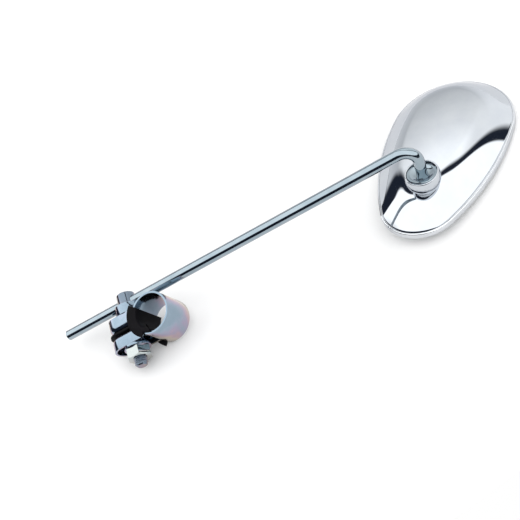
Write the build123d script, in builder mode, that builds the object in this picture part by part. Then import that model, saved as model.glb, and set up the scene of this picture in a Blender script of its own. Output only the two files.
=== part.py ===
from build123d import *
import os
from math import atan2, cos, pi, radians, sin, sqrt

# Clamp-on motorcycle mirror: a teardrop head on a ball joint, a bent rod stem, and an eye bolt
# that grips the stem and draws a lined strap clamp shut round the handlebar.
# Millimetres, +Z up. The mirror lies on a table, glass down, on its rim and on the clamp.
# The origin is on the axis of the handlebar, at the middle of the strap's length.

# Pose on the table, in degrees
stem_rise = 8.9  # slope of the stem, rising towards the head
clamp_roll = 17.6  # turn of the clamp about the stem
bend_roll = -6.8  # direction of the bend, about the stem
head_pitch = 4.2  # tilt of the head along the stem
head_roll = -0.1  # tilt of the head across the stem
head_turn = 65.2  # direction of the head's wide end, from +X

# Fits
slide_gap = 0.06  # radial, stem in the eye
swivel_gap = 0.35  # radial, eye bolt in the strap's holes
face_gap = 0.1  # between faces that turn on each other
socket_gap = 0.15  # between the ball joint's nested spheres
press_gap = 0.02  # pieces fixed into each other

# Handlebar and strap clamp
bar_r = 12.7
strap_inner_r = 14.4
strap_wall = 1.4
strap_length = 28.3
ear_gap = 2.0  # between the two ears
ear_half_width = 9.5
ear_edge = 12.3  # height of an ear's turned-out edge over the split
ear_bend_r = 5.0
ear_wall = 1.5
bolt_reach = 24.8  # from the strap's centre to the bolt's axis
ear_past_bolt = 8.8  # from the bolt's axis to the centre of the ear's round end

# Liner, angles from the split, positive away from the eye
liner_up_angle = -40
liner_down_angle = 78
lip_down_angle = 56
lip_thick = 1.8
lip_r = 18.8
tail_thick = 1.5
tail_inset = 0.5  # tail's edge inside the ear's edge
tail_past_ear = 1.0  # tail's end past the ear's end
slot_width = 2.2
slot_height = 4.0  # slot's middle above the strap's middle
slot_from_angle = 10
slot_to_angle = 42

# Eye bolt, nut and washer
thread_r = 5.0
bolt_end = 28.5  # below the split
bolt_chamfer = 0.9
eye_r = 7.0
eye_top = 30.2  # above the split
eye_edge_r = 0.8
eye_floor = 4.0  # metal under the stem's hole
saddle_r = 10.0
saddle_top = 20.4  # above the split
saddle_edge_r = 0.6
washer_r = 10.0
washer_thick = 2.0
nut_flats = 17.0
nut_height = 8.0
nut_chamfer_angle = 30

# Stem
stem_r = 4.0
stem_over_split = 23.0  # stem's axis above the split
stem_free = 57.7  # from the bolt's axis to the free end
stem_long = 243.7  # from the bolt's axis to the corner of the bend
bend_turn = 107.0
bend_r = 10.0
stem_last = 26.9  # from the corner of the bend to the ball's centre
stem_sink = 3.0  # past the ball's centre
stem_chamfer = 0.7

# Ball joint
cup_r = 12.4
cup_wall = 1.1
cup_mouth = 4.3  # height of the cup's mouth over the ball's centre
cup_lip_r = 0.35
foot_r = 6.0
foot_drop = 12.6  # from the ball's centre to the head's seat
ball_flat = 3.6  # height of the ball's flat over its centre
ball_dish = 1.4  # depth of the dish in the flat
ball_dish_r = 8.6
ball_core_r = 9.0
ball_step = 3.5  # depth under the centre where the ball steps in to its core
pad_thick = 0.8
pad_angle = 34  # edge of the friction pad, from the joint's axis
dish_angle = 28  # edge of the dished spring, from the joint's axis
rivet_r = 2.5
rivet_head_r = 4.2
rivet_head = 0.9
rivet_tail_r = 4.0
rivet_tail = 1.6
rivet_washer_r = 7.0
rivet_washer_thick = 1.0

# Mirror head, in its own plane: x to the wide end, z out of its back
head_wide_r = 45.9
head_tip_r = 29.7
head_centres = 72.9  # between the centres of the two ends
head_tip_side = 7.5  # tip's centre beside the line of the wide end
head_flank_r = 170.0
dome_top = 18.5  # height of the back over the foot of the rim
dome_foot = 0.6
dome_edge = 22.0  # width over which the back falls away to the rim
dome_middle = 8.0  # highest place, from the middle towards the wide end
dome_cross_r = 150.0
seat_height = 13.6  # flat seat of the ball joint
seat_r = 7.0
seat_thick = 4.0
seat_from_tip = 0.9  # ball joint's place, from the tip's centre to the wide end
shell_wall = 0.9
rim_out = 1.2  # rim's overhang round the shell
rim_in = 4.0  # width of the rim's lip under the glass
rim_depth = 3.7  # under the foot of the dome
rim_rise = 1.2  # over the foot of the dome
rim_edge_r = 1.0
rim_lip = 0.8  # thickness of the lip under the glass
glass_thick = 2.0
gasket_wall = 0.8
backing_thick = 1.2
backing_inset = 7.5

# Directions: along the stem to the head, along the bar, along the bolt to the eye
stem_dir = Vector(1, 0, 0).rotate(Axis.Y, -stem_rise)
level_dir = Vector(0, 0, 1).rotate(Axis.Y, -stem_rise)
stem_line = Axis((0, 0, 0), stem_dir)
bar_dir = level_dir.rotate(stem_line, clamp_roll)
clamp = Plane(origin=(0, 0, 0), x_dir=stem_dir, z_dir=bar_dir)
bolt_dir = clamp.y_dir

# The bar bears on the strap's wall opposite the split, so the strap's centre lies beside it
strap_centre = bar_r - strap_inner_r
strap_outer_r = strap_inner_r + strap_wall
bolt_x = strap_centre - bolt_reach
ear_end_x = bolt_x - ear_past_bolt
bolt_foot = clamp.from_local_coords((bolt_x, 0, 0))
split_foot = clamp.from_local_coords((strap_centre, 0, 0))
split_face = Plane(origin=split_foot, x_dir=stem_dir, z_dir=bolt_dir)
bolt = Plane(origin=bolt_foot, x_dir=stem_dir, z_dir=bolt_dir)
ear_length = strap_centre - ear_end_x

# Places along the stem
eye_centre = clamp.from_local_coords((bolt_x, stem_over_split, 0))
free_end = eye_centre - stem_dir * stem_free
corner = eye_centre + stem_dir * stem_long
bend_side = (level_dir * -1).rotate(stem_line, bend_roll)
end_dir = stem_dir * cos(radians(bend_turn)) + bend_side * sin(radians(bend_turn))
ball_centre = corner + end_dir * stem_last

# Planes of the ball, on the stem, and of its cup and the head behind it
ball_seat = Plane(origin=ball_centre, x_dir=stem_dir, z_dir=end_dir * -1)
back_dir = Vector(0, 0, 1).rotate(Axis.Y, head_pitch).rotate(Axis.X, head_roll)
wide_level = Vector(1, 0, 0).rotate(Axis.Z, head_turn)
wide_dir = (wide_level - back_dir * wide_level.dot(back_dir)).normalized()
socket = Plane(origin=ball_centre, x_dir=wide_dir, z_dir=back_dir)
seat_from_middle = head_centres / 2 - seat_from_tip
rim_height = foot_drop + seat_height
head = Plane(
    origin=ball_centre - back_dir * rim_height + wide_dir * seat_from_middle,
    x_dir=wide_dir,
    z_dir=back_dir,
)
foot = Plane(origin=ball_centre - back_dir * foot_drop, x_dir=wide_dir, z_dir=back_dir)

os.makedirs("parts", exist_ok=True)


def finish(builder, name):
    """Label a finished piece and write it."""
    builder.part.label = name
    export_step(builder.part, f"parts/{name}.step")


def wedge(from_angle, to_angle):
    """Pie slice about the strap's centre, by angles from the split."""
    reach = 4 * strap_outer_r
    angles = [radians(180 + from_angle + step * (to_angle - from_angle) / 2) for step in range(3)]
    corners = [(strap_centre + reach * cos(a), reach * sin(a)) for a in angles]
    Polygon((strap_centre, 0), *corners, align=None, mode=Mode.INTERSECT)


def outline_arcs():
    """Head outline: a wide end, a tip beside its line, and a flank on each side, all tangent."""
    wide_c = Vector(head_centres / 2, 0)
    tip_c = Vector(-head_centres / 2, head_tip_side)
    between = tip_c - wide_c
    along = between.normalized()
    across = Vector(-along.Y, along.X)
    near, far = head_flank_r - head_wide_r, head_flank_r - head_tip_r
    run = (near**2 - far**2 + between.length**2) / (2 * between.length)
    rise = sqrt(near**2 - run**2)
    right_c, left_c = [wide_c + along * run + across * rise * side for side in (1, -1)]
    turns = [atan2(end.Y - flank.Y, end.X - flank.X) for end in (wide_c, tip_c) for flank in (left_c, right_c)]
    return [
        (wide_c, head_wide_r, turns[0], turns[1]),
        (right_c, head_flank_r, turns[1], turns[3]),
        (tip_c, head_tip_r, turns[3], turns[2]),
        (left_c, head_flank_r, turns[2], turns[0]),
    ]


def teardrop(inset=0.0):
    """The head's outline, moved inwards."""
    with BuildLine() as outline:
        for centre, radius, start, end in outline_arcs():
            span = (end - start) % (2 * pi)
            places = [start + span * share for share in (0, 0.5, 1)]
            ThreePointArc(*[centre + Vector(cos(a), sin(a)) * (radius - inset) for a in places])
    make_face(outline.edges())


def inset_of(x, y):
    """Distance of a point in the head's plane from the head's outline."""
    found = []
    for centre, radius, start, end in outline_arcs():
        arm = Vector(x, y) - centre
        if (atan2(arm.Y, arm.X) - start) % (2 * pi) <= (end - start) % (2 * pi):
            found.append(radius - arm.length)
    return min(found)


def dome_face(sink):
    """The back of the head as one crowned face, or its inside at that depth under it."""
    long_r = (seat_from_middle + dome_middle) ** 2 / (2 * (dome_top - seat_height))
    reach = head_centres / 2 + head_wide_r
    columns = [reach * (step / 20 - 1) for step in range(41)]
    rows = [1.2 * head_wide_r * (step / 13 - 1) for step in range(27)]
    net = []
    for x in columns:
        net.append([])
        for y in rows:
            crown = dome_top - (x - dome_middle) ** 2 / (2 * long_r) - y**2 / (2 * dome_cross_r)
            edge = min((inset_of(x, y) - rim_out - sink) / dome_edge, 1)
            share = 1 - (1 - edge) ** 2 if edge > 0 else 2 * edge / (1 - 2 * edge)
            height = dome_foot + (crown - dome_foot) * share - sink
            net[-1].append(head.from_local_coords((x, y, height)))
    return Face.make_surface_from_array_of_points(net, smoothing=(1, 1, 1), max_deg=6)


# Strap clamp: a ring split on one side, its ears pressed as pans with the edges turned outwards
with BuildPart() as clamp_strap:
    with BuildSketch(split_face.offset(ear_gap / 2)):
        with Locations((-ear_length / 2, 0)):
            Rectangle(ear_length, 2 * ear_half_width)
        with Locations((-ear_length, 0)):
            Circle(ear_half_width)
    extrude(amount=ear_edge - ear_gap / 2)
    pan_faces = clamp_strap.faces().sort_by(Axis((0, 0, 0), bolt_dir))
    fillet(pan_faces[0].edges(), ear_bend_r)
    pan_mouth = clamp_strap.faces().sort_by(Axis((0, 0, 0), bolt_dir))[-1]
    offset(amount=-ear_wall, openings=pan_mouth)
    mirror(about=split_face)
    with BuildSketch(clamp.offset(-strap_length)):
        with Locations((strap_centre, 0)):
            Circle(strap_outer_r)
    extrude(amount=2 * strap_length, mode=Mode.SUBTRACT)
    with BuildSketch(clamp.offset(-strap_length / 2)):
        with Locations((strap_centre, 0)):
            Circle(strap_outer_r)
            Circle(strap_inner_r, mode=Mode.SUBTRACT)
        with Locations((strap_centre - strap_outer_r, 0)):
            Rectangle(strap_outer_r, ear_gap, mode=Mode.SUBTRACT)
    extrude(amount=strap_length)
    with BuildSketch(bolt):
        Circle(thread_r + swivel_gap)
    extrude(amount=ear_edge, both=True, mode=Mode.SUBTRACT)
finish(clamp_strap, "clamp_strap")

# Liner: a crescent that packs the bar out, with lips over the strap's ends and a tail in the split
with BuildPart() as clamp_liner:
    with BuildSketch(clamp.offset(-strap_length / 2 - lip_thick)):
        with Locations((strap_centre, 0)):
            Circle(strap_inner_r - press_gap)
        Circle(bar_r, mode=Mode.SUBTRACT)
        wedge(liner_up_angle, liner_down_angle)
    extrude(amount=strap_length + 2 * lip_thick)
    for lip_foot in (-strap_length / 2 - lip_thick, strap_length / 2 + press_gap):
        with BuildSketch(clamp.offset(lip_foot)):
            with Locations((strap_centre, 0)):
                Circle(lip_r)
            Circle(bar_r, mode=Mode.SUBTRACT)
            wedge(liner_up_angle, lip_down_angle)
        extrude(amount=lip_thick - press_gap)
    with BuildSketch(split_face.offset(-tail_thick / 2)):
        tail_half = ear_half_width - tail_inset
        tail_length = ear_length + tail_inset + tail_past_ear
        tail_root = strap_inner_r - (strap_inner_r - bar_r)
        with Locations((-(tail_length + tail_root) / 2, 0)):
            Rectangle(tail_length - tail_root, 2 * tail_half)
        with Locations((-tail_length, 0)):
            Circle(tail_half)
        with Locations((-bolt_reach, 0)):
            Circle(thread_r + swivel_gap, mode=Mode.SUBTRACT)
    extrude(amount=tail_thick)
    with BuildSketch(clamp.offset(slot_height - slot_width / 2)):
        with Locations((strap_centre, 0)):
            Circle(strap_inner_r)
        Circle(bar_r - strap_wall, mode=Mode.SUBTRACT)
        wedge(slot_from_angle, slot_to_angle)
    extrude(amount=slot_width, mode=Mode.SUBTRACT)
finish(clamp_liner, "clamp_liner")

# Eye bolt: a round head with a cross hole for the stem, on a threaded shank
with BuildPart() as eye_bolt:
    eye_low = stem_over_split - stem_r - eye_floor
    with BuildSketch(bolt.offset(-bolt_end)):
        Circle(thread_r)
    extrude(amount=bolt_end + eye_low)
    chamfer(eye_bolt.edges().sort_by(Axis((0, 0, 0), bolt_dir))[0], bolt_chamfer)
    with BuildSketch(bolt.offset(eye_low)):
        Circle(eye_r)
    extrude(amount=eye_top - eye_low)
    fillet(eye_bolt.edges().sort_by(Axis((0, 0, 0), bolt_dir))[-1], eye_edge_r)
    with BuildSketch(Plane(origin=eye_centre, x_dir=bolt_dir, z_dir=stem_dir)):
        Circle(stem_r + slide_gap)
    extrude(amount=2 * eye_r, both=True, mode=Mode.SUBTRACT)
finish(eye_bolt, "eye_bolt")

# Saddle: a collar round the eye, notched on both sides so that the stem beds into it
with BuildPart() as saddle_collar:
    with BuildSketch(bolt.offset(ear_edge + face_gap)):
        Circle(saddle_r)
        Circle(eye_r + face_gap, mode=Mode.SUBTRACT)
    extrude(amount=saddle_top - ear_edge - face_gap)
    saddle_mouth = saddle_collar.faces().sort_by(Axis((0, 0, 0), bolt_dir))[-1]
    fillet(saddle_mouth.outer_wire().edges(), saddle_edge_r)
    with BuildSketch(Plane(origin=eye_centre, x_dir=bolt_dir, z_dir=stem_dir)):
        Circle(stem_r + slide_gap)
    extrude(amount=2 * saddle_r, both=True, mode=Mode.SUBTRACT)
finish(saddle_collar, "saddle_collar")

# Flat washer across the lower ear's edges
washer_top = -ear_edge - face_gap
with BuildPart() as flat_washer:
    with BuildSketch(bolt.offset(washer_top - washer_thick)):
        Circle(washer_r)
        Circle(thread_r + press_gap, mode=Mode.SUBTRACT)
    extrude(amount=washer_thick)
finish(flat_washer, "flat_washer")

# Hexagon nut, corners turned down on both ends
nut_top = washer_top - washer_thick
with BuildPart() as lock_nut:
    corner_r = nut_flats / sqrt(3)
    with BuildSketch(bolt.offset(nut_top - nut_height)):
        RegularPolygon(nut_flats / 2, 6, major_radius=False)
    extrude(amount=nut_height)
    nut_middle = bolt.offset(nut_top - nut_height / 2)
    chamfer_rise = (corner_r - nut_flats / 2) * sin(radians(nut_chamfer_angle)) / cos(radians(nut_chamfer_angle))
    with BuildSketch(Plane(origin=nut_middle.origin, x_dir=stem_dir, z_dir=bar_dir)):
        with BuildLine():
            Polyline(
                (thread_r + press_gap, -nut_height / 2),
                (nut_flats / 2, -nut_height / 2),
                (corner_r, chamfer_rise - nut_height / 2),
                (corner_r, nut_height / 2 - chamfer_rise),
                (nut_flats / 2, nut_height / 2),
                (thread_r + press_gap, nut_height / 2),
                close=True,
            )
        make_face()
    revolve(axis=Axis(nut_middle.origin, bolt_dir), mode=Mode.INTERSECT)
finish(lock_nut, "lock_nut")

# Stem: one rod, straight through the eye, bent once and sunk into the ball
with BuildPart() as stem:
    with BuildLine() as stem_path:
        FilletPolyline(free_end, corner, corner + end_dir * (stem_last + stem_sink), radius=bend_r)
    with BuildSketch(Plane(origin=free_end, x_dir=bolt_dir, z_dir=stem_dir)):
        Circle(stem_r)
    sweep(path=stem_path.wires()[0])
    chamfer(stem.edges().sort_by(stem_line)[0], stem_chamfer)
finish(stem, "stem")

# Ball: full round where the cup holds it, stepped in below for the pad, dished round the stem
ball_r = cup_r - cup_wall - socket_gap
with BuildPart(ball_seat) as ball:
    Sphere(ball_r)
    split(bisect_by=ball_seat.offset(-ball_step), keep=Keep.TOP)
    Sphere(ball_core_r)
    split(bisect_by=ball_seat.offset(ball_flat), keep=Keep.BOTTOM)
    with BuildSketch(ball_seat.offset(ball_flat)):
        Circle(ball_dish_r)
    with BuildSketch(ball_seat.offset(ball_flat - ball_dish)):
        Circle(stem_r + press_gap)
    loft(mode=Mode.SUBTRACT)
    with BuildSketch(ball_seat.offset(ball_flat)):
        Circle(stem_r + press_gap)
    extrude(amount=-ball_flat - stem_sink, mode=Mode.SUBTRACT)
finish(ball, "ball")


def socket_cap(outer_r, inner_r, edge_angle):
    """Round cap between two nested spheres, at the bottom of the socket."""
    Sphere(outer_r)
    Sphere(inner_r, mode=Mode.SUBTRACT)
    split(bisect_by=socket.offset(-outer_r * cos(radians(edge_angle))), keep=Keep.BOTTOM)


# Friction pad under the ball, and the dished spring that presses it up
pad_r = ball_core_r + socket_gap + pad_thick
with BuildPart(socket) as friction_pad:
    socket_cap(pad_r, ball_core_r + socket_gap, pad_angle)
finish(friction_pad, "friction_pad")

with BuildPart(socket) as dish_spring:
    socket_cap(ball_r, pad_r + socket_gap, dish_angle)
    with BuildSketch(socket):
        Circle(rivet_r)
    extrude(amount=-2 * cup_r, mode=Mode.SUBTRACT)
finish(dish_spring, "dish_spring")

# Cup: a spun bowl closed in past the ball's widest part, on a short foot
with BuildPart(socket) as ball_cup:
    Sphere(cup_r)
    with BuildSketch(foot):
        Circle(foot_r)
    extrude(amount=foot_drop)
    Sphere(cup_r - cup_wall, mode=Mode.SUBTRACT)
    split(bisect_by=socket.offset(cup_mouth), keep=Keep.BOTTOM)
    cup_rim = ball_cup.faces().sort_by(Axis((0, 0, 0), back_dir))[-1]
    fillet(cup_rim.edges(), cup_lip_r)
    with BuildSketch(socket):
        Circle(rivet_head_r + press_gap)
    extrude(amount=-(cup_r - cup_wall) - rivet_head, mode=Mode.SUBTRACT)
    with BuildSketch(socket):
        Circle(rivet_r + press_gap)
    extrude(amount=-2 * cup_r, mode=Mode.SUBTRACT)
finish(ball_cup, "ball_cup")

# Rivet through the cup's foot and the shell's seat, headed over on a washer inside
rivet_top = foot_drop - (cup_r - cup_wall)
with BuildPart() as cup_rivet:
    with BuildSketch(foot.offset(rivet_top - rivet_head)):
        Circle(rivet_head_r)
    extrude(amount=rivet_head - socket_gap)
    with BuildSketch(foot.offset(-seat_thick - rivet_washer_thick)):
        Circle(rivet_r)
    extrude(amount=seat_thick + rivet_washer_thick + rivet_top - rivet_head)
    with BuildSketch(foot.offset(-seat_thick - rivet_washer_thick)):
        Circle(rivet_tail_r)
    extrude(amount=-rivet_tail, taper=20)
finish(cup_rivet, "cup_rivet")

with BuildPart() as rivet_washer:
    with BuildSketch(foot.offset(-seat_thick)):
        Circle(rivet_washer_r)
        Circle(rivet_r + press_gap, mode=Mode.SUBTRACT)
    extrude(amount=-rivet_washer_thick)
finish(rivet_washer, "rivet_washer")

# Room inside the shell, which is cut out of it: under the back, and clear of the seat
glass_low = rim_lip - rim_depth
with BuildPart() as shell_core:
    with BuildSketch(head.offset(-rim_depth)):
        teardrop(rim_out + shell_wall)
    extrude(amount=2 * dome_top)
    extrude(dome_face(shell_wall), amount=2 * dome_top, dir=back_dir, mode=Mode.SUBTRACT)
    with BuildSketch(foot.offset(-seat_thick)):
        Circle(seat_r)
    extrude(amount=dome_top, mode=Mode.SUBTRACT)

# Shell: the pressed back, falling away to a short skirt, with a flat seat for the ball joint
with BuildPart() as mirror_shell:
    with BuildSketch(head.offset(glass_low)):
        teardrop(rim_out)
    extrude(amount=2 * dome_top)
    extrude(dome_face(0), amount=2 * dome_top, dir=back_dir, mode=Mode.SUBTRACT)
    with BuildSketch(foot.offset(-seat_thick)):
        Circle(seat_r)
    extrude(amount=seat_thick)
    with BuildSketch(foot):
        Circle(seat_r)
    extrude(amount=dome_top, mode=Mode.SUBTRACT)
    add(shell_core.part, mode=Mode.SUBTRACT)
    with BuildSketch(foot):
        Circle(rivet_r + press_gap)
    extrude(amount=2 * seat_thick, both=True, mode=Mode.SUBTRACT)
finish(mirror_shell, "mirror_shell")

# Rim: rolled round the shell's skirt, with a lip under the glass
with BuildPart() as retaining_rim:
    with BuildSketch(head.offset(-rim_depth)):
        teardrop()
    extrude(amount=rim_depth + rim_rise)
    for rim_face in (0, -1):
        rim_faces = retaining_rim.faces().sort_by(Axis((0, 0, 0), back_dir))
        fillet(rim_faces[rim_face].edges(), rim_edge_r)
    with BuildSketch(head.offset(glass_low - press_gap)):
        teardrop(rim_out - press_gap)
    extrude(amount=2 * rim_depth, mode=Mode.SUBTRACT)
    with BuildSketch(head.offset(glass_low)):
        teardrop(rim_in)
    extrude(amount=-2 * rim_depth, mode=Mode.SUBTRACT)
finish(retaining_rim, "retaining_rim")

# Glass in a rubber edging, with a pad behind it
glass_inset = rim_out + shell_wall + gasket_wall + press_gap
with BuildPart() as glass_edging:
    with BuildSketch(head.offset(glass_low)):
        teardrop(rim_out + shell_wall + press_gap)
    extrude(amount=glass_thick)
    with BuildSketch(head.offset(glass_low)):
        teardrop(glass_inset)
    extrude(amount=glass_thick, mode=Mode.SUBTRACT)
finish(glass_edging, "glass_edging")

with BuildPart() as mirror_glass:
    with BuildSketch(head.offset(glass_low)):
        teardrop(glass_inset + press_gap)
    extrude(amount=glass_thick)
finish(mirror_glass, "mirror_glass")

with BuildPart() as glass_backing:
    with BuildSketch(head.offset(glass_low + glass_thick)):
        teardrop(backing_inset)
    extrude(amount=backing_thick)
finish(glass_backing, "glass_backing")
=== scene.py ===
"""Looks of a clamp-on motorcycle mirror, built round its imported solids.

Sizes are written in millimetres. The scene is in metres, in the part's own frame.
"""

from math import atan2, cos, degrees, pi, radians, sin, sqrt, tan

import bmesh
import bpy
from mathutils import Matrix, Vector


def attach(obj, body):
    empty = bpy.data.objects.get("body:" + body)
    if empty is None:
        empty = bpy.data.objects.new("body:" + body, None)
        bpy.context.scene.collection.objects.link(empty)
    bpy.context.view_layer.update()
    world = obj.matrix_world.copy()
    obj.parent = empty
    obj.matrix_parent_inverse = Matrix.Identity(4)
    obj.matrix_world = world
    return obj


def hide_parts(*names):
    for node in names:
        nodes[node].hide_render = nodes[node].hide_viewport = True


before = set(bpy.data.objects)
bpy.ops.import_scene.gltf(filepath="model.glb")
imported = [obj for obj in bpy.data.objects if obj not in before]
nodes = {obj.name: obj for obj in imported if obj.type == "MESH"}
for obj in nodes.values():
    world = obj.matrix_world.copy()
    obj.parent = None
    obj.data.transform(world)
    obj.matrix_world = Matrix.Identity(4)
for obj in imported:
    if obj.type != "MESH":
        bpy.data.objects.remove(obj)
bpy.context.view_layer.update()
bpy.ops.object.select_all(action="DESELECT")

MM = 0.001
UP = Vector((0, 0, 1))

# The part's own angles and sizes, as its source has them, in degrees and millimetres
STEM_RISE, CLAMP_ROLL, BEND_ROLL = 8.9, 17.6, -6.8
HEAD_PITCH, HEAD_ROLL, HEAD_TURN = 4.2, -0.1, 65.2
STRAP_CENTRE, BOLT_X = -1.7, -26.5
STEM_R, STEM_HEIGHT, STEM_FREE, STEM_LONG = 4.0, 23.0, 57.7, 243.7
STEM_CHAMFER, STEM_SINK = 0.7, 3.0
BEND_TURN, BEND_R, STEM_LAST = 107.0, 10.0, 26.9
BALL_R, BALL_CORE_R, BALL_STEP = 11.15, 9.0, 3.5
BALL_FLAT, BALL_DISH, BALL_DISH_R = 3.6, 1.4, 8.6
CUP_R, CUP_WALL, FOOT_R, FOOT_DROP = 12.4, 1.1, 6.0, 12.6
RIVET_R = 2.5
WIDE_R, TIP_R, CENTRES, TIP_SIDE, FLANK_R = 45.9, 29.7, 72.9, 7.5, 170.0
SEAT_FROM_MIDDLE, SEAT_HEIGHT = CENTRES / 2 - 0.9, 13.6
RIM_OUT, RIM_DEPTH, RIM_LIP, SHELL_WALL = 1.2, 3.7, 0.8, 0.9
THREAD_R, BOLT_END = 5.0, 28.5
EYE_R, EYE_TOP, EYE_LOW, EYE_EDGE_R = 7.0, 30.2, 15.0, 0.8
SLIDE_GAP = 0.06
TABLE_Z = -21.6 * MM


def turned(vector, axis, angle):
    """A direction turned about an axis by an angle in degrees."""
    return Matrix.Rotation(radians(angle), 3, axis) @ vector


def placed(x_dir, z_dir, origin):
    """Matrix from a local frame in millimetres to the part's frame in metres."""
    y_dir = z_dir.cross(x_dir)
    turn = Matrix((x_dir, y_dir, z_dir)).transposed().to_4x4()
    return Matrix.Translation(origin * MM) @ turn @ Matrix.Scale(MM, 4)


stem_dir = turned(Vector((1, 0, 0)), "Y", -STEM_RISE)
level_dir = turned(UP, "Y", -STEM_RISE)
bar_dir = turned(level_dir, stem_dir, CLAMP_ROLL)
bolt_dir = bar_dir.cross(stem_dir)
eye_centre = stem_dir * BOLT_X + bolt_dir * STEM_HEIGHT
corner = eye_centre + stem_dir * STEM_LONG
bend_side = turned(-level_dir, stem_dir, BEND_ROLL)
end_dir = stem_dir * cos(radians(BEND_TURN)) + bend_side * sin(radians(BEND_TURN))
ball_centre = corner + end_dir * STEM_LAST
ball_side = (stem_dir - end_dir * stem_dir.dot(end_dir)).normalized()
back_dir = turned(turned(UP, "Y", HEAD_PITCH), "X", HEAD_ROLL)
wide_dir = turned(Vector((1, 0, 0)), "Z", HEAD_TURN)
wide_dir = (wide_dir - back_dir * wide_dir.dot(back_dir)).normalized()
head_centre = ball_centre - back_dir * (FOOT_DROP + SEAT_HEIGHT) + wide_dir * SEAT_FROM_MIDDLE

BOLT_PLACE = placed(stem_dir, bolt_dir, stem_dir * BOLT_X)
STEM_PLACE = placed(stem_dir, stem_dir.cross(bend_side), corner)
BALL_PLACE = placed(ball_side, -end_dir, ball_centre)
SOCKET_PLACE = placed(wide_dir, back_dir, ball_centre)
HEAD_PLACE = placed(wide_dir, back_dir, head_centre)

# Camera at the photograph's angle: lens and sensor, nearest view, line of sight, up, and its stand
# from the strap's centre in millimetres
LENS, SENSOR, NEAREST = 69.23, 36.0, 0.01
SIGHT, OVER = (-0.2471, 0.6689, -0.7011), (0.3572, 0.7354, 0.5758)
STAND = (259.15, -463.24, 502.44)

camera_data = bpy.data.cameras.new("camera")
camera_data.lens = LENS
camera_data.sensor_width = SENSOR
camera_data.clip_start = NEAREST
camera = bpy.data.objects.new("camera", camera_data)
bpy.context.scene.collection.objects.link(camera)
look = Vector(SIGHT).normalized()
right = look.cross(Vector(OVER)).normalized()
facing = Matrix((right, right.cross(look), -look)).transposed().to_4x4()
stand = stem_dir * STRAP_CENTRE + Vector(STAND)
camera.matrix_world = Matrix.Translation(stand * MM) @ facing
bpy.context.scene.camera = camera


# Shared node helpers
def add_node(tree, kind, **settings):
    node = tree.nodes.new(kind)
    for key, value in settings.items():
        setattr(node, key, value)
    return node


def plug(tree, socket, value):
    """Link a socket to another socket, or set it to a plain value."""
    if isinstance(value, bpy.types.NodeSocket):
        tree.links.new(value, socket)
    else:
        socket.default_value = value


def feed(tree, node, **inputs):
    """Plug a node's inputs by name, with spaces written as underscores."""
    for key, value in inputs.items():
        plug(tree, node.inputs[key.replace("_", " ")], value)
    return node


def sum_up(tree, operation, first, second):
    """Two values worked into one."""
    node = add_node(tree, "ShaderNodeMath", operation=operation)
    for socket, value in zip(node.inputs, (first, second)):
        plug(tree, socket, value)
    return node.outputs["Value"]


def spread(tree, value, low, high, start=0.3, end=0.7, smooth=False):
    """A value's run from start to end as a run from low to high."""
    run = "SMOOTHSTEP" if smooth else "LINEAR"
    node = add_node(tree, "ShaderNodeMapRange", interpolation_type=run)
    feed(tree, node, Value=value, From_Min=start, From_Max=end, To_Min=low, To_Max=high)
    return node.outputs["Result"]


def ramp(tree, value, stops):
    """Colour for a value, from stops of (place, colour)."""
    node = add_node(tree, "ShaderNodeValToRGB")
    elements = node.color_ramp.elements
    while len(elements) < len(stops):
        elements.new(0.5)
    for element, (place, colour) in zip(elements, stops):
        element.position = place
        element.color = (*colour, 1)
    tree.links.new(value, node.inputs["Fac"])
    return node.outputs["Color"]


# Where the mix node keeps its share and its two colours, and the mixed colour
MIX_INPUTS, MIX_RESULT = (0, 6, 7), 2


def blend(tree, share, first, second):
    """Colour mixed from two by a share."""
    node = add_node(tree, "ShaderNodeMix", data_type="RGBA")
    for number, value in zip(MIX_INPUTS, (share, first, second)):
        plug(tree, node.inputs[number], value)
    return node.outputs[MIX_RESULT]


def new_group(name, inputs, outputs):
    """A shader node group: its number inputs with their usual values, and its outputs' kinds."""
    group = bpy.data.node_groups.new(name, "ShaderNodeTree")
    for label, value in inputs.items():
        socket = group.interface.new_socket(label, in_out="INPUT", socket_type="NodeSocketFloat")
        socket.default_value = value
    for label, kind in outputs.items():
        group.interface.new_socket(label, in_out="OUTPUT", socket_type=f"NodeSocket{kind}")
    return group, group.nodes.new("NodeGroupInput"), group.nodes.new("NodeGroupOutput")


# Handling marks: soft smears, fine scratches drawn out one way, and small pits
SCRATCH_TURN, SCRATCH_STRETCH = (0.3, 0.2, 0.7), (1.0, 0.06, 0.3)


def make_handling():
    sizes = {"Smear Size": 60.0, "Scratch Size": 900.0, "Pit Size": 420.0}
    masks = dict.fromkeys(("Smear", "Scratch", "Pits"), "Float")
    group, given, out = new_group("handling_marks", sizes, masks)
    place = add_node(group, "ShaderNodeTexCoord").outputs["Object"]
    smear = add_node(group, "ShaderNodeTexNoise")
    feed(group, smear, Vector=place, Scale=given.outputs["Smear Size"], Detail=4.0, Roughness=0.6)
    stretch = add_node(group, "ShaderNodeMapping")
    feed(group, stretch, Vector=place, Rotation=SCRATCH_TURN, Scale=SCRATCH_STRETCH)
    scratch = add_node(group, "ShaderNodeTexNoise")
    feed(group, scratch, Vector=stretch.outputs["Vector"], Detail=3.0)
    feed(group, scratch, Scale=given.outputs["Scratch Size"])
    pits = add_node(group, "ShaderNodeTexVoronoi")
    feed(group, pits, Vector=place, Scale=given.outputs["Pit Size"])
    feed(group, out, Smear=smear.outputs["Fac"], Scratch=scratch.outputs["Fac"])
    feed(group, out, Pits=spread(group, pits.outputs["Distance"], 1.0, 0.0, 0.02, 0.14))
    return group


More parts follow.
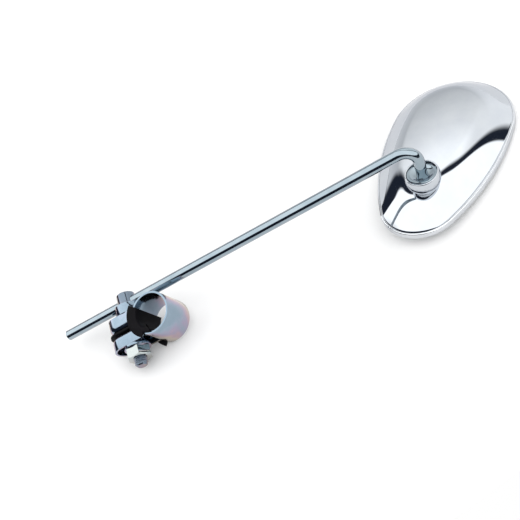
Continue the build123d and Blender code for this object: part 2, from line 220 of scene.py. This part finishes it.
# Passivation bloom: bright zinc plate turns from blue-grey to lilac, pink and straw
# as it is seen more edge-on
BLOOM_TINTS = [
    (0.1, (0.2, 0.27, 0.34)),
    (0.45, (0.25, 0.33, 0.41)),
    (0.6, (0.31, 0.36, 0.46)),
    (0.72, (0.39, 0.33, 0.46)),
    (0.84, (0.52, 0.35, 0.4)),
    (0.96, (0.57, 0.45, 0.34)),
]
BLOOM_GAIN = 1.25


def make_bloom():
    inputs = {"Edge On": 0.0, "Bloom Size": 30.0, "Mottle Size": 240.0}
    group, given, out = new_group("passivation_bloom", inputs, {"Tint": "Color"})
    place = add_node(group, "ShaderNodeTexCoord").outputs["Object"]
    broad = add_node(group, "ShaderNodeTexNoise")
    feed(group, broad, Vector=place, Scale=given.outputs["Bloom Size"], Detail=2.0, Distortion=0.6)
    mottle = add_node(group, "ShaderNodeTexNoise")
    feed(group, mottle, Vector=place, Scale=given.outputs["Mottle Size"], Detail=4.0)
    clouds = spread(group, broad.outputs["Fac"], -0.2, 0.2)
    specks = spread(group, mottle.outputs["Fac"], -0.06, 0.06)
    film = sum_up(group, "ADD", given.outputs["Edge On"], clouds)
    film = sum_up(group, "ADD", film, specks)
    feed(group, out, Tint=ramp(group, film, BLOOM_TINTS))
    return group


handling, bloom = make_handling(), make_bloom()


# Finishes. Depths of their fine relief are in metres.
SCRATCH_DEPTH, GRAIN_DEPTH = 0.02 * MM, 0.05 * MM
CHROME_TINT, MOULDING_SHEEN = (0.8, 0.8, 0.82, 1), 0.06
ZINC_DARK, ZINC_PALE = (0.33, 0.4, 0.44), (0.42, 0.48, 0.51)


def new_material(name, metallic=0.0, **sizes):
    """A material with handling marks, its Principled shader and the marks' outputs."""
    material = bpy.data.materials.new(name)
    material.use_nodes = True
    tree = material.node_tree
    shader = tree.nodes["Principled BSDF"]
    shader.inputs["Metallic"].default_value = metallic
    marks = add_node(tree, "ShaderNodeGroup", node_tree=handling)
    feed(tree, marks, **sizes)
    return material, tree, shader, marks.outputs


def bump(tree, shader, height, distance, strength):
    node = add_node(tree, "ShaderNodeBump")
    feed(tree, node, Height=height, Distance=distance, Strength=strength)
    feed(tree, shader, Normal=node.outputs["Normal"])


def make_chrome(name, dark, pale):
    material, tree, shader, marks = new_material(name, 1.0)
    tone = ramp(tree, marks["Smear"], [(0.3, dark), (0.7, pale)])
    smeared = spread(tree, marks["Smear"], 0.015, 0.05)
    pitted = spread(tree, marks["Pits"], 0.0, 0.02, 0.0, 1.0)
    feed(tree, shader, Base_Color=tone, Roughness=sum_up(tree, "ADD", smeared, pitted))
    feed(tree, shader, Specular_Tint=CHROME_TINT)
    return material


def make_zinc(name, tint_share, rough_low, rough_high, dark=ZINC_DARK, pale=ZINC_PALE):
    material, tree, shader, marks = new_material(name, 1.0, Smear_Size=90.0)
    edge_on = add_node(tree, "ShaderNodeLayerWeight").outputs["Facing"]
    tint = add_node(tree, "ShaderNodeGroup", node_tree=bloom)
    feed(tree, tint, Edge_On=sum_up(tree, "MULTIPLY", edge_on, BLOOM_GAIN))
    plain = ramp(tree, marks["Smear"], [(0.3, dark), (0.7, pale)])
    feed(tree, shader, Base_Color=blend(tree, tint_share, plain, tint.outputs["Tint"]))
    feed(tree, shader, Roughness=spread(tree, marks["Smear"], rough_low, rough_high))
    bump(tree, shader, marks["Scratch"], SCRATCH_DEPTH, 0.3)
    return material


def make_moulding(name, dark, pale, rough_low, rough_high):
    material, tree, shader, marks = new_material(name)
    feed(tree, shader, Base_Color=ramp(tree, marks["Smear"], [(0.35, dark), (0.7, pale)]))
    feed(tree, shader, Roughness=spread(tree, marks["Smear"], rough_low, rough_high))
    bump(tree, shader, marks["Scratch"], GRAIN_DEPTH, 0.4)
    feed(tree, shader, Specular_IOR_Level=MOULDING_SHEEN)
    return material


def make_silvered_glass():
    material, tree, shader, marks = new_material("silvered_glass", 1.0)
    tone = ramp(tree, marks["Smear"], [(0.3, (0.86, 0.89, 0.9)), (0.7, (0.92, 0.94, 0.94))])
    feed(tree, shader, Base_Color=tone, Roughness=spread(tree, marks["Smear"], 0.01, 0.03))
    return material


FINISHES = {
    "chrome": make_chrome("polished_chrome", (0.53, 0.56, 0.6), (0.57, 0.6, 0.63)),
    "zinc": make_zinc("bright_zinc", 0.85, 0.08, 0.17),
    "rod": make_zinc("drawn_rod", 0.15, 0.04, 0.1, (0.28, 0.34, 0.38), (0.36, 0.42, 0.45)),
    "spring": make_zinc("plain_spring", 0.1, 0.25, 0.4),
    "liner": make_moulding(
        "black_moulding", (0.003, 0.003, 0.004), (0.008, 0.007, 0.009), 0.45, 0.65
    ),
    "edging": make_moulding("black_rubber", (0.012,) * 3, (0.03,) * 3, 0.6, 0.8),
    "pad": make_moulding("pale_moulding", (0.6, 0.58, 0.52), (0.74, 0.72, 0.68), 0.35, 0.5),
    "glass": make_silvered_glass(),
}
# Lit and shaded copies of a slot's plate: painted highlight on nut and rim, painted shade on the
# bolt
# The nut's zinc is painted lighter than the rest, a painted highlight
NUT_PAINTED_HIGHLIGHT = make_zinc("nut_painted_highlight_zinc", 0.2, 0.06, 0.12, (0.46, 0.5, 0.48), (0.54, 0.57, 0.54))
# The eye bolt's zinc is painted near black, a painted shade
BOLT_PAINTED_SHADE = make_zinc("bolt_painted_shade_zinc", 0.4, 0.08, 0.18, (0.09, 0.11, 0.14), (0.15, 0.17, 0.2))
# The rim's chrome is painted brighter than the shell's, a painted highlight
RIM_PAINTED_HIGHLIGHT = make_chrome("rim_painted_highlight_chrome", (0.62, 0.64, 0.67), (0.67, 0.69, 0.71))


# Modelling helpers. A piece is shaped in millimetres in its own frame and then put in its place.
LYING = (0, pi / 2, 0)  # turns a primitive's axis along x
DOUBLES = 0.001
FULL_TURN = 2 * pi


def fresh(kind, **settings):
    """A new primitive, alone in the selection and in edit mode, with all of it selected."""
    bpy.ops.object.select_all(action="DESELECT")
    getattr(bpy.ops.mesh, f"primitive_{kind}_add")(**settings)
    bpy.ops.object.transform_apply(location=True, rotation=True, scale=True)
    bpy.ops.object.mode_set(mode="EDIT")
    bpy.ops.mesh.select_mode(type="VERT")
    bpy.ops.mesh.select_all(action="SELECT")
    return bpy.context.object


def pick(piece, test):
    """Select the vertices that pass a test, and what lies between them."""
    form = bmesh.from_edit_mesh(piece.data)
    for vertex in form.verts:
        vertex.select = test(vertex)
    form.select_flush_mode()
    form.select_flush(True)
    bmesh.update_edit_mesh(piece.data)


def clean_up(piece):
    """Merge doubled vertices, turn every face outwards and leave edit mode."""
    bpy.ops.mesh.select_all(action="SELECT")
    bpy.ops.mesh.remove_doubles(threshold=DOUBLES)
    bpy.ops.mesh.normals_make_consistent(inside=False)
    bpy.ops.object.mode_set(mode="OBJECT")
    return piece


def modify(piece, kind, **settings):
    """Add a modifier and apply it."""
    modifier = piece.modifiers.new(kind.lower(), kind)
    for key, value in settings.items():
        setattr(modifier, key, value)
    bpy.context.view_layer.objects.active = piece
    bpy.ops.object.modifier_apply(modifier=modifier.name)


def draw_edges(step):
    """Extrude the selected edges by a step."""
    bpy.ops.mesh.extrude_edges_move(TRANSFORM_OT_translate={"value": step})


def turn_profile(points, steps=72):
    """Draw a profile of (radius, height) points and spin it once round the z axis."""
    piece = fresh("plane", size=1.0)
    bpy.ops.mesh.merge(type="CENTER")
    last = Vector((0, 0))
    for number, point in enumerate(points):
        step = Vector(point) - last
        move = {"value": (step.x, 0, step.y)}
        if number:
            bpy.ops.mesh.extrude_vertices_move(TRANSFORM_OT_translate=move)
        else:
            bpy.ops.transform.translate(**move)
        last = Vector(point)
    bpy.ops.mesh.select_all(action="SELECT")
    bpy.ops.mesh.spin(steps=steps, angle=FULL_TURN, center=(0, 0, 0), axis=(0, 0, 1))
    return clean_up(piece)


def arc(radius, start, end, count, centre=(0, 0)):
    """Profile points on an arc, its angles in degrees up from the horizontal."""
    angles = [radians(start + (end - start) * step / count) for step in range(count + 1)]
    return [(centre[0] + radius * cos(a), centre[1] + radius * sin(a)) for a in angles]


def settle(piece, name, body, slot, place=None, stands_for=(), sharp=35, finish=None):
    """Name a finished piece, put its place into its mesh, smooth it and hand it to its body."""
    if place:
        piece.data.transform(place)
    piece.name = name
    piece.data.name = name
    bpy.ops.object.select_all(action="DESELECT")
    piece.select_set(True)
    bpy.context.view_layer.objects.active = piece
    bpy.ops.object.shade_smooth_by_angle(angle=radians(sharp))
    piece.data.materials.clear()
    piece.data.materials.append(finish or FINISHES[slot])
    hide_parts(*stands_for)
    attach(piece, body)
    return piece


def height_at(radius, reach):
    """Height of a circle of that radius at a reach from its upright axis."""
    return sqrt(radius**2 - reach**2)


def angle_at(radius, height):
    """Angle in degrees up to the point of a circle at a height."""
    return degrees(atan2(height, height_at(radius, height)))


# Head outline: four tangent arcs, each with its centre, radius and the directions that it spans
def outline_arcs():
    wide = Vector((CENTRES / 2, 0))
    tip = Vector((-CENTRES / 2, TIP_SIDE))
    between = tip - wide
    along = between.normalized()
    across = Vector((-along.y, along.x))
    near, far = FLANK_R - WIDE_R, FLANK_R - TIP_R
    run = (near**2 - far**2 + between.length_squared) / (2 * between.length)
    rise = sqrt(near**2 - run**2)
    right_flank, left_flank = (wide + along * run + across * rise * side for side in (1, -1))

    def heading(centre, flank):
        return atan2(centre.y - flank.y, centre.x - flank.x)

    meetings = (wide, left_flank), (wide, right_flank), (tip, right_flank), (tip, left_flank)
    corners = [heading(centre, flank) for centre, flank in meetings]
    return [
        (wide, WIDE_R, corners[0], corners[1]),
        (right_flank, FLANK_R, corners[1], corners[2]),
        (tip, TIP_R, corners[2], corners[3]),
        (left_flank, FLANK_R, corners[3], corners[0]),
    ]


def sweep_of(start, end):
    return (end - start) % FULL_TURN


def outline_points(inset, count):
    """Points at even steps round the head's outline, moved inwards."""
    arcs = outline_arcs()
    girth = sum(radius * sweep_of(start, end) for _, radius, start, end in arcs)
    points = []
    for number in range(count):
        way = girth * number / count
        for centre, radius, start, end in arcs:
            if way < radius * sweep_of(start, end):
                break
            way -= radius * sweep_of(start, end)
        angle = start + way / radius
        points.append(centre + Vector((cos(angle), sin(angle))) * (radius - inset))
    return points


def inset_of(point):
    """Distance of a point from the head's outline."""
    found = []
    for centre, radius, start, end in outline_arcs():
        arm = point - centre
        if sweep_of(start, atan2(arm.y, arm.x)) <= sweep_of(start, end):
            found.append(radius - arm.length)
    return min(found)


# Shell: a flat blank in rings, pressed into a dome whose edge turns down into a short skirt.
# The edge's rings lie a millimetre apart, and each ring further in is a share of the one before.
OUTLINE_COUNT, SHELL_SHARP = 240, 50
EDGE_RINGS, EDGE_RING, INNER_RINGS, RING_SHARE = 26, 1.0, 14, 0.84
DOME_TOP, DOME_AT_CUP, DOME_FOOT, DOME_EDGE = 19.2, 16.6, 1.3, 22.0
DOME_MIDDLE = Vector((8.0, 0.0))
DOME_CROSS_R = 150.0
DOME_LONG_R = (SEAT_FROM_MIDDLE + DOME_MIDDLE.x) ** 2 / (2 * (DOME_TOP - DOME_AT_CUP))


def dome_height(point):
    away = point - DOME_MIDDLE
    crown = DOME_TOP - away.x**2 / (2 * DOME_LONG_R) - away.y**2 / (2 * DOME_CROSS_R)
    inside = min(max((inset_of(point) - RIM_OUT) / DOME_EDGE, 0), 1)
    return DOME_FOOT + (crown - DOME_FOOT) * (1 - (1 - inside) ** 2)


def make_shell():
    piece = fresh("circle", vertices=OUTLINE_COUNT, radius=1.0, fill_type="NGON")
    form = bmesh.from_edit_mesh(piece.data)
    form.verts.ensure_lookup_table()
    for vertex, point in zip(form.verts, outline_points(RIM_OUT, OUTLINE_COUNT)):
        vertex.co = (point.x, point.y, 0)
    bmesh.update_edit_mesh(piece.data)
    for _ in range(EDGE_RINGS):
        bpy.ops.mesh.inset(thickness=EDGE_RING, depth=0.0)
    smaller = (RING_SHARE, RING_SHARE, 1)
    for _ in range(INNER_RINGS):
        bpy.ops.mesh.extrude_region_move()
        bpy.ops.transform.resize(value=smaller, center_override=(DOME_MIDDLE.x, 0, 0))
    bpy.ops.mesh.merge(type="CENTER")
    form = bmesh.from_edit_mesh(piece.data)
    for vertex in form.verts:
        vertex.co.z = dome_height(vertex.co.xy)
    bmesh.update_edit_mesh(piece.data)
    pick(piece, lambda vertex: vertex.is_boundary)
    draw_edges((0, 0, RIM_LIP - RIM_DEPTH - DOME_FOOT))
    clean_up(piece)
    modify(piece, "SOLIDIFY", thickness=SHELL_WALL, offset=-1.0)
    return settle(
        piece,
        "shell_pressing",
        "head",
        "chrome",
        HEAD_PLACE,
        ["mirror_shell"],
        sharp=SHELL_SHARP,
    )


# Stem: a ring drawn along the rod, round the bend and down into the ball
ROD_SIDES, STEM_RUNS, BEND_STEPS = 64, 12, 32


def make_stem():
    free = -STEM_LONG - STEM_FREE
    bend_start = BEND_R * tan(radians(BEND_TURN / 2))
    end = Vector((cos(radians(BEND_TURN)), sin(radians(BEND_TURN)), 0))
    inner = STEM_R - STEM_CHAMFER
    start = {"location": (free, 0, 0), "rotation": LYING}
    piece = fresh("circle", vertices=ROD_SIDES, radius=inner, **start)
    draw_edges((STEM_CHAMFER, 0, 0))
    widen = STEM_R / inner
    bpy.ops.transform.resize(value=(1, widen, widen), center_override=(free + STEM_CHAMFER, 0, 0))
    straight = -free - STEM_CHAMFER - bend_start
    for _ in range(STEM_RUNS):
        draw_edges((straight / STEM_RUNS, 0, 0))
    bend = {"center": (-bend_start, BEND_R, 0), "axis": (0, 0, -1)}
    bpy.ops.mesh.spin(steps=BEND_STEPS, angle=radians(BEND_TURN), **bend)
    draw_edges(end * (STEM_LAST + STEM_SINK - bend_start))
    bpy.ops.mesh.edge_face_add()
    pick(piece, lambda vertex: vertex.is_boundary)
    bpy.ops.mesh.edge_face_add()
    clean_up(piece)
    return settle(piece, "bent_rod", "arm", "rod", STEM_PLACE, ["stem"])


# Ball: turned, with a bowl round the rod and a stepped-in core below. Its flat starts at a
# broken edge, and the bowl a little inside that.
BALL_POLE, BALL_EDGE_ANGLE, BALL_EDGE, BALL_EDGE_DROP = -89.9, 2, 0.4, 0.05
DISH_EDGE = 0.2
CORE_STEPS, ROUND_STEPS, DISH_STEPS = 16, 40, 12


def make_ball():
    top = angle_at(BALL_R, BALL_FLAT) - BALL_EDGE_ANGLE
    profile = arc(BALL_CORE_R, BALL_POLE, -angle_at(BALL_CORE_R, BALL_STEP), CORE_STEPS)
    profile += arc(BALL_R, -angle_at(BALL_R, BALL_STEP), top, ROUND_STEPS)
    flat_r = height_at(BALL_R, BALL_FLAT)
    profile += [
        (flat_r - 0.3 * BALL_EDGE, BALL_FLAT - BALL_EDGE_DROP),
        (flat_r - BALL_EDGE, BALL_FLAT),
        (BALL_DISH_R + DISH_EDGE, BALL_FLAT),
    ]
    for step in range(1, DISH_STEPS + 1):
        way = step / DISH_STEPS
        reach = BALL_DISH_R + (STEM_R - BALL_DISH_R) * way
        profile.append((reach, BALL_FLAT - BALL_DISH * sin(pi / 2 * way)))
    piece = turn_profile(profile)
    plate = FINISHES["rod"]
    return settle(piece, "turned_ball", "arm", "zinc", BALL_PLACE, ["ball"], finish=plate)


# Cup: spun from sheet, its mouth closed in over the ball, on a foot that beds into the shell.
# Angles of the mouth, of its rounded lip's two ends and of the floor's edge are in degrees.
CUP_MOUTH, LIP_START, LIP_END, CUP_FLOOR = 18.6, 15, 165, -77
FOOT_SINK, FOOT_EDGE = 3.5, 0.3
CUP_SIDES, BOWL_STEPS, LIP_STEPS = 96, 48, 8


def make_cup():
    inner_r, middle_r = CUP_R - CUP_WALL, CUP_R - CUP_WALL / 2
    lip = (middle_r * cos(radians(CUP_MOUTH)), middle_r * sin(radians(CUP_MOUTH)))
    foot_low = -FOOT_DROP - FOOT_SINK
    bowl = -degrees(atan2(height_at(CUP_R, FOOT_R), FOOT_R))
    profile = [(RIVET_R, foot_low), (FOOT_R - FOOT_EDGE, foot_low), (FOOT_R, foot_low + FOOT_EDGE)]
    profile += arc(CUP_R, bowl, CUP_MOUTH, BOWL_STEPS)
    lip_ends = CUP_MOUTH + LIP_START, CUP_MOUTH + LIP_END
    profile += arc(CUP_WALL / 2, *lip_ends, LIP_STEPS, lip)
    profile += arc(inner_r, CUP_MOUTH, CUP_FLOOR, BOWL_STEPS)
    profile += [(RIVET_R, profile[-1][1]), (RIVET_R, foot_low)]
    piece = turn_profile(profile, CUP_SIDES)
    return settle(piece, "spun_cup", "head", "chrome", SOCKET_PLACE, ["ball_cup"])


# Eye bolt: a turned head and shank, cross-bored for the rod, with a thread wound on the shank
BOLT_SIDES, EYE_EDGE_STEPS = 64, 8
BOLT_AXIS_R, EYE_LOW_EDGE, BOLT_BEVEL = 0.01, 0.3, 0.8
SHANK_R, SHANK_LOW, RUN_OUT = THREAD_R - 0.05, -8.0, 0.7
CORE_R, PITCH, THREAD_TURNS, TURN_STEPS = 4.25, 1.5, 13, 48
TOOTH_SINK, TOOTH_PEAK, TOOTH_END = 0.15, 0.5, 0.96
CUT_BACK, CUT_SLOPE = 0.7, 0.9


def make_eye_bolt():
    profile = [(BOLT_AXIS_R, EYE_TOP)]
    edge_centre = (EYE_R - EYE_EDGE_R, EYE_TOP - EYE_EDGE_R)
    profile += arc(EYE_EDGE_R, 90, 0, EYE_EDGE_STEPS, edge_centre)
    profile += [
        (EYE_R, EYE_LOW + EYE_LOW_EDGE),
        (EYE_R - EYE_LOW_EDGE, EYE_LOW),
        (SHANK_R, EYE_LOW),
        (SHANK_R, SHANK_LOW),
        (CORE_R, SHANK_LOW - RUN_OUT),
        (CORE_R, BOLT_BEVEL - BOLT_END),
        (CORE_R - BOLT_BEVEL, -BOLT_END),
        (BOLT_AXIS_R, -BOLT_END),
    ]
    piece = turn_profile(profile, BOLT_SIDES)
    bore_size = {"vertices": ROD_SIDES, "radius": STEM_R + SLIDE_GAP, "depth": 4 * EYE_R}
    bore = fresh("cylinder", **bore_size, rotation=LYING)
    bpy.ops.transform.translate(value=(0, 0, STEM_HEIGHT))
    bpy.ops.object.mode_set(mode="OBJECT")
    bpy.ops.object.select_all(action="DESELECT")
    modify(piece, "BOOLEAN", operation="DIFFERENCE", object=bore, solver="EXACT")
    bpy.data.objects.remove(bore)

    # One tooth of the thread, wound up the shank and capped, its lowest turn cut back
    # to the end's bevel
    thread = fresh("circle", vertices=3, radius=1.0)
    form = bmesh.from_edit_mesh(thread.data)
    form.verts.ensure_lookup_table()
    root_r = CORE_R - TOOTH_SINK
    tooth = [(root_r, 0.0), (THREAD_R, TOOTH_PEAK * PITCH), (root_r, TOOTH_END * PITCH)]
    for vertex, (reach, height) in zip(form.verts, tooth):
        vertex.co = (reach, 0, height - BOLT_END)
    bmesh.update_edit_mesh(thread.data)
    bpy.ops.object.mode_set(mode="OBJECT")
    wind = {"axis": "Z", "screw_offset": PITCH, "iterations": THREAD_TURNS}
    modify(thread, "SCREW", steps=TURN_STEPS, render_steps=TURN_STEPS, **wind)
    bpy.ops.object.mode_set(mode="EDIT")
    first_peak = TOOTH_PEAK * PITCH - BOLT_END
    for peak in (first_peak, first_peak + THREAD_TURNS * PITCH):
        pick(thread, lambda vertex: vertex.is_boundary and abs(vertex.co.z - peak) < 0.6 * PITCH)
        bpy.ops.mesh.edge_face_add()
    clean_up(thread)
    for vertex in thread.data.vertices:
        limit = CORE_R - CUT_BACK + max(vertex.co.z + BOLT_END, 0) * CUT_SLOPE
        if vertex.co.xy.length > limit:
            vertex.co.xy = vertex.co.xy * limit / vertex.co.xy.length
    bpy.ops.object.select_all(action="DESELECT")
    thread.select_set(True)
    piece.select_set(True)
    bpy.context.view_layer.objects.active = piece
    bpy.ops.object.join()
    # The eye bolt takes the near-black zinc copy, its painted shade
    return settle(
        piece, "cross_bored_bolt", "eye", "zinc", BOLT_PLACE, ["eye_bolt"], finish=BOLT_PAINTED_SHADE
    )


# The rest keep the solids' own shapes, joined up, with sharp edges broken where a width is given
COPY_DOUBLES, FLAT_WITHIN, SHARP_OVER = 0.002 * MM, 0.4, 40


def joined_copy(node, name, body, slot, break_edge=0.0, finish=None):
    piece = nodes[node].copy()
    piece.data = nodes[node].data.copy()
    piece.parent = None
    piece.matrix_world = Matrix.Identity(4)
    bpy.context.scene.collection.objects.link(piece)
    bpy.ops.object.select_all(action="DESELECT")
    piece.select_set(True)
    bpy.context.view_layer.objects.active = piece
    bpy.ops.object.mode_set(mode="EDIT")
    bpy.ops.mesh.select_all(action="SELECT")
    bpy.ops.mesh.remove_doubles(threshold=COPY_DOUBLES)
    bpy.ops.mesh.dissolve_limited(angle_limit=radians(FLAT_WITHIN))
    bpy.ops.object.mode_set(mode="OBJECT")
    if break_edge:
        modify(
            piece,
            "BEVEL",
            width=break_edge * MM,
            segments=2,
            limit_method="ANGLE",
            angle_limit=radians(SHARP_OVER),
            use_clamp_overlap=True,
        )
    return settle(piece, name, body, slot, stands_for=[node], finish=finish)


make_shell()
make_stem()
make_ball()
make_cup()
make_eye_bolt()
joined_copy("clamp_strap", "strap", "clamp", "zinc", 0.6)
joined_copy("clamp_liner", "liner", "clamp", "liner", 0.2)
joined_copy("saddle_collar", "collar", "eye", "zinc", 0.2)
joined_copy("flat_washer", "washer", "eye", "zinc", 0.2)
# The nut takes the lighter zinc copy, its painted highlight
joined_copy("lock_nut", "nut", "eye", "zinc", 0.15, finish=NUT_PAINTED_HIGHLIGHT)
joined_copy("friction_pad", "pad_under_ball", "pad", "pad")
joined_copy("dish_spring", "dished_spring", "spring", "spring")
joined_copy("cup_rivet", "rivet", "head", "zinc")
joined_copy("rivet_washer", "washer_inside", "head", "zinc")
# The rim takes the brighter chrome copy, its painted highlight
joined_copy("retaining_rim", "rolled_rim", "head", "chrome", finish=RIM_PAINTED_HIGHLIGHT)
joined_copy("mirror_glass", "glass_plate", "head", "glass", 0.2)
joined_copy("glass_edging", "edging", "head", "edging", 0.15)
joined_copy("glass_backing", "backing", "head", "edging")


# Table: pale, made up to white for the camera and for reflections, so that it keeps the shadow.
# It is turned with the studio, and its near and left edges lie just out of the picture.
STUDIO_TURN = -20.3
TABLE_SIZE, TABLE_NEAR, TABLE_LEFT = 4.0, 0.25, 0.22
TABLE_COLOUR, TABLE_GLOW = (0.8, 0.8, 0.8, 1), 0.06
WHITE = (1, 1, 1, 1)


def make_table():
    bpy.ops.object.select_all(action="DESELECT")
    half = TABLE_SIZE / 2
    middle = Vector((half - TABLE_LEFT, half - TABLE_NEAR, TABLE_Z))
    middle = turned(middle, "Z", -STUDIO_TURN)
    turn = (0, 0, radians(-STUDIO_TURN))
    bpy.ops.mesh.primitive_plane_add(size=TABLE_SIZE, location=middle, rotation=turn)
    table = bpy.context.object
    table.name = "table"
    material = bpy.data.materials.new("pale_table")
    material.use_nodes = True
    tree = material.node_tree
    shader = tree.nodes["Principled BSDF"]
    feed(tree, shader, Base_Color=TABLE_COLOUR, Roughness=0.7, Specular_IOR_Level=0.2)
    path = add_node(tree, "ShaderNodeLightPath").outputs
    seen = sum_up(tree, "MAXIMUM", path["Is Camera Ray"], path["Is Glossy Ray"])
    seen = sum_up(tree, "MAXIMUM", seen, path["Is Transmission Ray"])
    glow = sum_up(tree, "MULTIPLY", seen, TABLE_GLOW)
    feed(tree, shader, Emission_Color=WHITE, Emission_Strength=glow)
    table.data.materials.append(material)


# Studio: a broad soft light over the near and right side, a pale wall beyond the table, and a
# dark gap between them. An edge is the direction square to it, as (right, far, up), and a fade
# is where it starts and ends, as sines.
LIGHT_LEFT_EDGE, LIGHT_RIGHT_EDGE = (-0.772, -0.511, 0.376), (-0.16, -0.968, -0.195)
LIGHT_ROUNDING, LIGHT_FADE = 0.5, (-0.015, 0.015)
LIGHT_LOW_EDGE, LIGHT_LOW_FADE = (0.679, 0.171, 0.715), (-0.16, -0.1)
DIM_NEAR_SIDE, DIM_FADE = (-0.8, -0.45, -0.4), (0.42, 0.48)
LIGHT_OVER_TABLE = (0.02, 0.06)
LIGHT_TONE, DARK_TONE = (1.8, 1.8, 1.8, 1), (0.02, 0.026, 0.042, 1)
GAP_AT_TABLE, GAP_AT_TOP, GAP_AT_LEFT, GAP_LEFT_FADE = 0.12, 0.09, 0.14, (-0.5, -0.2)
WALL_FADE = (-0.06, 0.02)
WALL_TONES = [
    (0.0, (0.94, 0.95, 0.96)),
    (0.22, (0.81, 0.82, 0.84)),
    (0.42, (0.76, 0.77, 0.78)),
    (0.65, (1.24, 1.24, 1.24)),
    (0.8, (1.75, 1.75, 1.75)),
]
RIGHT_WALL_TONE, RIGHT_WALL_SHARE, RIGHT_WALL_FADE = (1.45, 1.45, 1.45, 1), 0.8, (0.5, 0.9)
FLOOR_TONE, NEAR_FLOOR_TONE = (0.95, 0.95, 0.95, 1), (0.03, 0.04, 0.055, 1)
NEAR_FADE, FLOOR_FADE = (-0.1, 0.0), (-0.02, 0.0)


def make_studio():
    world = bpy.data.worlds.new("studio")
    bpy.context.scene.world = world
    world.use_nodes = True
    tree = world.node_tree
    seen = add_node(tree, "ShaderNodeTexCoord").outputs["Generated"]
    way = add_node(tree, "ShaderNodeVectorRotate", rotation_type="Z_AXIS")
    way = feed(tree, way, Vector=seen, Angle=radians(STUDIO_TURN)).outputs["Vector"]
    parts = feed(tree, add_node(tree, "ShaderNodeSeparateXYZ"), Vector=way).outputs
    right, far, up = parts["X"], parts["Y"], parts["Z"]

    def past(edge):
        """How far a direction lies past an edge, as a sine."""
        node = add_node(tree, "ShaderNodeVectorMath", operation="DOT_PRODUCT")
        plug(tree, node.inputs[0], way)
        plug(tree, node.inputs[1], edge)
        return node.outputs["Value"]

    # The light, cut off by each of its edges in turn
    corner_node = add_node(tree, "ShaderNodeMath", operation="SMOOTH_MAX")
    edges = past(LIGHT_LEFT_EDGE), past(LIGHT_RIGHT_EDGE), LIGHT_ROUNDING
    for socket, value in zip(corner_node.inputs, edges):
        plug(tree, socket, value)
    lit = corner_node.outputs["Value"]
    light = spread(tree, lit, 0, 1, *LIGHT_FADE, True)
    for cut in (
        spread(tree, past(LIGHT_LOW_EDGE), 0, 1, *LIGHT_LOW_FADE, True),
        spread(tree, past(DIM_NEAR_SIDE), 1, 0, *DIM_FADE, True),
        spread(tree, up, 0, 1, *LIGHT_OVER_TABLE, True),
    ):
        light = sum_up(tree, "MULTIPLY", light, cut)

    # The wall, a gap away from the light that narrows upwards and is wider on the left
    gap = spread(tree, up, GAP_AT_TABLE, GAP_AT_TOP, 0.0, 1.0)
    gap = sum_up(tree, "ADD", gap, spread(tree, right, GAP_AT_LEFT, 0.0, *GAP_LEFT_FADE))
    wall = spread(tree, sum_up(tree, "ADD", lit, gap), 1, 0, *WALL_FADE, True)
    to_right = spread(tree, right, 0, RIGHT_WALL_SHARE, *RIGHT_WALL_FADE)
    wall_tone = blend(tree, to_right, ramp(tree, up, WALL_TONES), RIGHT_WALL_TONE)
    shown = blend(tree, wall, DARK_TONE, wall_tone)
    shown = blend(tree, light, shown, LIGHT_TONE)

    # Below the table's level: pale floor, dark on the near and left sides.
    # The camera itself sees plain white all round.
    near = spread(tree, far, 1, 0, *NEAR_FADE)
    near = sum_up(tree, "MAXIMUM", near, spread(tree, right, 1, 0, *NEAR_FADE))
    under = blend(tree, near, FLOOR_TONE, NEAR_FLOOR_TONE)
    shown = blend(tree, spread(tree, up, 1, 0, *FLOOR_FADE), shown, under)
    camera_ray = add_node(tree, "ShaderNodeLightPath").outputs["Is Camera Ray"]
    shown = blend(tree, camera_ray, shown, WHITE)
    feed(tree, tree.nodes["Background"], Color=shown, Strength=1.0)


make_table()
make_studio()
bpy.context.scene.view_settings.view_transform = "Standard"
